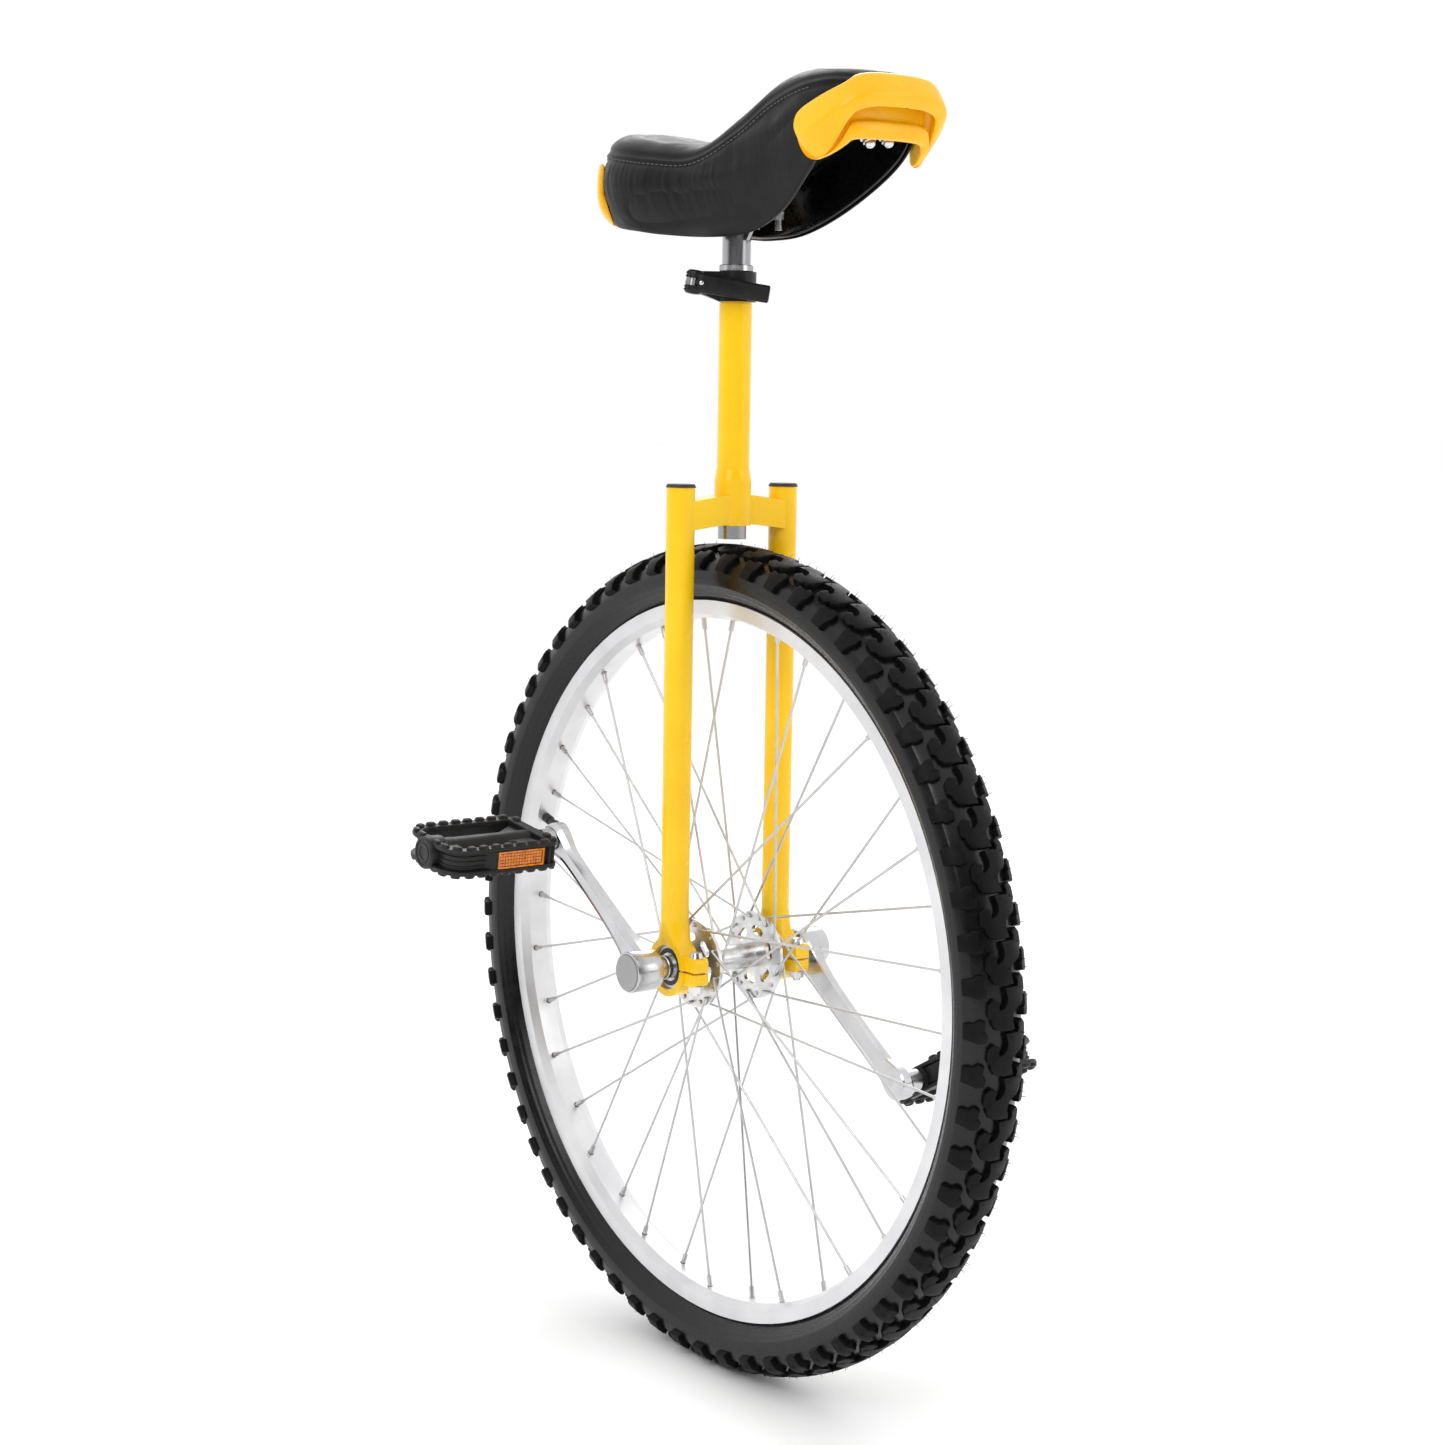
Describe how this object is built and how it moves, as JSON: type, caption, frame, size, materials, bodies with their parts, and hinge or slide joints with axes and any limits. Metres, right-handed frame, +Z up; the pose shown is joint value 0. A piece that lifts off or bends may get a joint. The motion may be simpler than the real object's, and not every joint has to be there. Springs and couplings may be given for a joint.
{
  "type": "unicycle",
  "caption": "Off-road unicycle with a knobbly tyre, steel fork frame, height-adjustable curved saddle with front handle, cranks and platform pedals.",
  "frame": {"origin": "on the ground straight below the middle of the axle, under the tyre", "axes": "+X forward, the way the saddle handle points; +Y to the rider's left, along the axle; +Z up"},
  "size_m": [0.6598, 0.406, 1.013],
  "materials": {
    "tyre_rubber": "matt moulded rubber",
    "tube_rubber": "matt rubber",
    "rim_alloy": "satin anodised alloy",
    "spoke_steel": "plated wire",
    "hub_zinc": "zinc-plated pressed steel",
    "axle_steel": "ground steel",
    "cage_brass": "pressed brass",
    "seal_rubber": "smooth rubber",
    "frame_paint": "gloss golden yellow enamel",
    "cap_plastic": "matt black plastic",
    "fastener_zinc": "bright zinc plating",
    "clamp_black": "satin black anodising",
    "post_chrome": "chrome-plated tube",
    "crank_chrome": "chrome-plated steel",
    "saddle_vinyl": "matt grained black vinyl",
    "saddle_foam": "open-cell foam",
    "pan_plastic": "gloss black moulded plastic",
    "bumper_yellow": "gloss yellow-orange plastic",
    "pedal_plastic": "matt moulded black plastic",
    "reflector_amber": "prismatic amber lens"
  },
  "bodies": {
    "frame": {"fork_leg_left": "frame_paint", "fork_leg_right": "frame_paint", "bearing_holder_left": "frame_paint", "bearing_holder_right": "frame_paint", "fork_crown": "frame_paint", "seat_tube": "frame_paint", "leg_top_caps": "cap_plastic", "pinch_bolts": "fastener_zinc", "pinch_nuts": "fastener_zinc", "bearing_outer_races": "axle_steel", "bearing_seals": "seal_rubber", "seat_clamp_collar": "clamp_black", "clamp_skewer": "fastener_zinc", "clamp_washer": "fastener_zinc"},
    "wheel": {"tyre": "tyre_rubber", "inner_tube": "tube_rubber", "rim_tape": "tube_rubber", "valve_stem": "tube_rubber", "valve_cap": "tube_rubber", "rim": "rim_alloy", "spokes_left": "spoke_steel", "spokes_right": "spoke_steel", "spoke_nipples": "spoke_steel", "hub_shell": "hub_zinc", "hub_flange_left": "hub_zinc", "hub_flange_right": "hub_zinc", "axle": "axle_steel", "bearing_inner_races": "axle_steel", "crank_left": "crank_chrome", "crank_right": "crank_chrome", "crank_cap_left": "cap_plastic", "crank_cap_right": "cap_plastic", "crank_bolts": "fastener_zinc", "pedal_spindle_left": "axle_steel", "pedal_spindle_right": "axle_steel", "pedal_nut_left": "fastener_zinc", "pedal_nut_right": "fastener_zinc"},
    "saddle": {"seat_post": "post_chrome", "saddle_bracket": "post_chrome", "saddle_bolts": "fastener_zinc", "saddle_nuts": "fastener_zinc", "saddle_base": "pan_plastic", "saddle_foam": "saddle_foam", "saddle_cover": "saddle_vinyl", "front_bumper": "bumper_yellow", "rear_bumper": "bumper_yellow"},
    "lever": {"quick_release_lever": "clamp_black"},
    "adjuster": {"clamp_adjuster_nut": "clamp_black"},
    "pedal_right": {"pedal_body_right": "pedal_plastic", "pedal_end_cap_right": "pedal_plastic", "pedal_reflectors_right": "reflector_amber"},
    "pedal_left": {"pedal_body_left": "pedal_plastic", "pedal_end_cap_left": "pedal_plastic", "pedal_reflectors_left": "reflector_amber"},
    "balls_right": {"bearing_balls_right": "axle_steel", "bearing_cage_right": "cage_brass"},
    "balls_left": {"bearing_balls_left": "axle_steel", "bearing_cage_left": "cage_brass"}
  },
  "joints": [
    {"name": "wheel_spin", "type": "hinge", "parent": "frame", "child": "wheel", "pos_m": [0, 0, 0.33], "axis": [0, 1, 0], "continuous": true},
    {"name": "pedal_right_spin", "type": "hinge", "parent": "wheel", "child": "pedal_right", "pos_m": [-0.12287, 0, 0.41604], "axis": [0, 1, 0], "continuous": true},
    {"name": "pedal_left_spin", "type": "hinge", "parent": "wheel", "child": "pedal_left", "pos_m": [0.12287, 0, 0.24396], "axis": [0, 1, 0], "continuous": true},
    {"name": "bearing_right_roll", "type": "hinge", "parent": "frame", "child": "balls_right", "pos_m": [0, -0.05, 0.33], "axis": [0, 1, 0], "continuous": true},
    {"name": "bearing_left_roll", "type": "hinge", "parent": "frame", "child": "balls_left", "pos_m": [0, 0.05, 0.33], "axis": [0, 1, 0], "continuous": true},
    {"name": "saddle_height", "type": "slide", "parent": "frame", "child": "saddle", "axis": [0, 0, 1], "range_m": [0, 0.14]},
    {"name": "quick_release", "type": "hinge", "parent": "frame", "child": "lever", "pos_m": [-0.00535, -0.03613, 0.8605], "axis": [-0.0915, -0.1204, -0.9885], "range_deg": [0, 150]},
    {"name": "adjuster_nut_turn", "type": "hinge", "parent": "frame", "child": "adjuster", "pos_m": [-0.01936, -0.02548, 0.8605], "axis": [0.7961, -0.6051, 0], "continuous": true}
  ],
  "couplings": [
    {"joint": "bearing_right_roll", "follows": "wheel_spin", "ratio": 0.41},
    {"joint": "bearing_left_roll", "follows": "wheel_spin", "ratio": 0.41}
  ]
}
